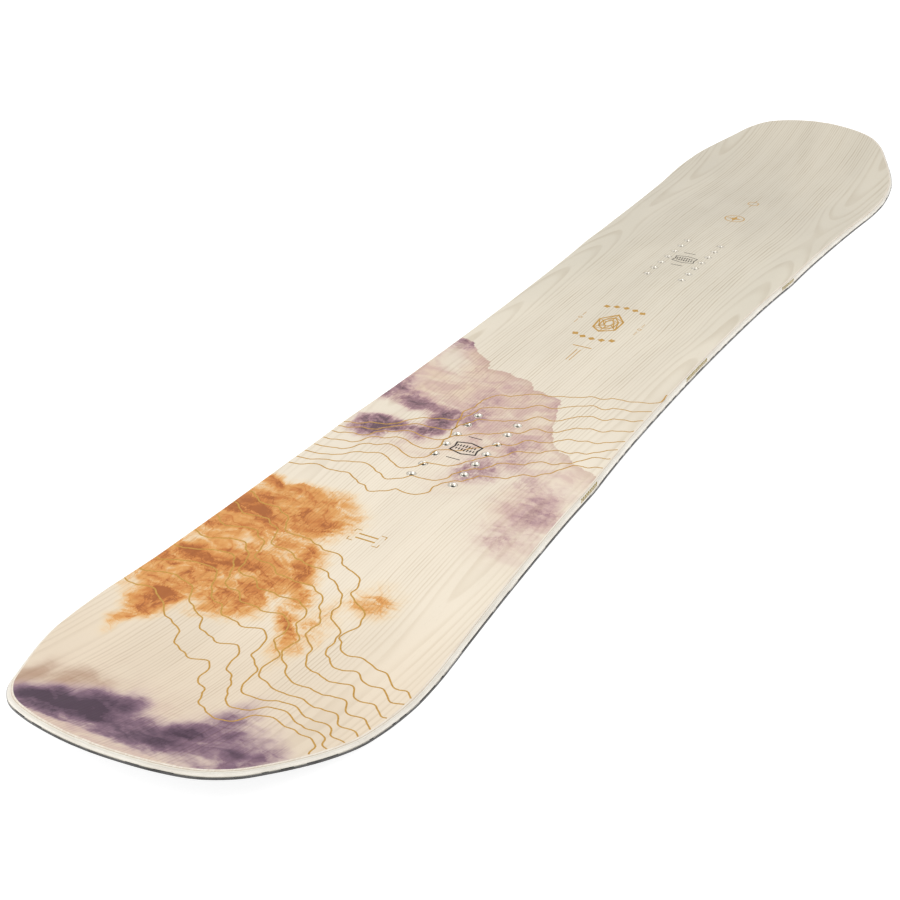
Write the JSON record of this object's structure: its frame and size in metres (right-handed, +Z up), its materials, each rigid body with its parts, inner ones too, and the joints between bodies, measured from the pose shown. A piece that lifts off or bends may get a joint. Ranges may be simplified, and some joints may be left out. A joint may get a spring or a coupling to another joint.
{
  "type": "snowboard",
  "caption": "Bare twin-tip snowboard with a laminated wood core, steel edges, a printed ash veneer top and threaded inserts for bindings.",
  "frame": {"origin": "on the ground under the middle of the board, half way between the two insert packs", "axes": "+X towards the nose, +Y towards the left edge, +Z up off the base"},
  "size_m": [1.5152, 0.2752, 0.0418],
  "materials": {
    "ash_veneer": "clear gloss lacquer over pale ash with a printed watercolour stain",
    "sidewall_white": "planed off-white ABS",
    "edge_steel": "ground",
    "base_black": "stone-ground sintered polyethylene",
    "insert_steel": "bright stainless",
    "glass_laminate": "cured epoxy and glass",
    "core_wood_light": "planed poplar",
    "core_wood_dark": "planed bamboo",
    "damping_rubber": "matt",
    "insert_mat": "woven glass tape"
  },
  "bodies": {
    "root": {"base": "base_black", "lower_laminate": "glass_laminate", "steel_edge_left": "edge_steel", "damping_strip_left": "damping_rubber", "sidewall_left": "sidewall_white", "steel_edge_right": "edge_steel", "damping_strip_right": "damping_rubber", "sidewall_right": "sidewall_white", "nose_spacer": "sidewall_white", "tail_spacer": "sidewall_white", "core_stringer_1": "core_wood_light", "core_stringer_2": "core_wood_dark", "core_stringer_3": "core_wood_light", "core_stringer_4": "core_wood_dark", "core_stringer_5": "core_wood_light", "core_stringer_6": "core_wood_dark", "core_stringer_7": "core_wood_light", "core_stringer_8": "core_wood_dark", "core_stringer_9": "core_wood_light", "core_stringer_10": "core_wood_dark", "core_stringer_11": "core_wood_light", "upper_laminate": "glass_laminate", "topsheet": "ash_veneer", "insert_mat_nose": "insert_mat", "insert_nose_left_1": "insert_steel", "insert_nose_left_2": "insert_steel", "insert_nose_left_3": "insert_steel", "insert_nose_left_4": "insert_steel", "insert_nose_left_5": "insert_steel", "insert_nose_left_6": "insert_steel", "insert_nose_left_7": "insert_steel", "insert_nose_right_1": "insert_steel", "insert_nose_right_2": "insert_steel", "insert_nose_right_3": "insert_steel", "insert_nose_right_4": "insert_steel", "insert_nose_right_5": "insert_steel", "insert_nose_right_6": "insert_steel", "insert_nose_right_7": "insert_steel", "insert_mat_tail": "insert_mat", "insert_tail_left_1": "insert_steel", "insert_tail_left_2": "insert_steel", "insert_tail_left_3": "insert_steel", "insert_tail_left_4": "insert_steel", "insert_tail_left_5": "insert_steel", "insert_tail_left_6": "insert_steel", "insert_tail_left_7": "insert_steel", "insert_tail_right_1": "insert_steel", "insert_tail_right_2": "insert_steel", "insert_tail_right_3": "insert_steel", "insert_tail_right_4": "insert_steel", "insert_tail_right_5": "insert_steel", "insert_tail_right_6": "insert_steel", "insert_tail_right_7": "insert_steel"}
  },
  "joints": []
}
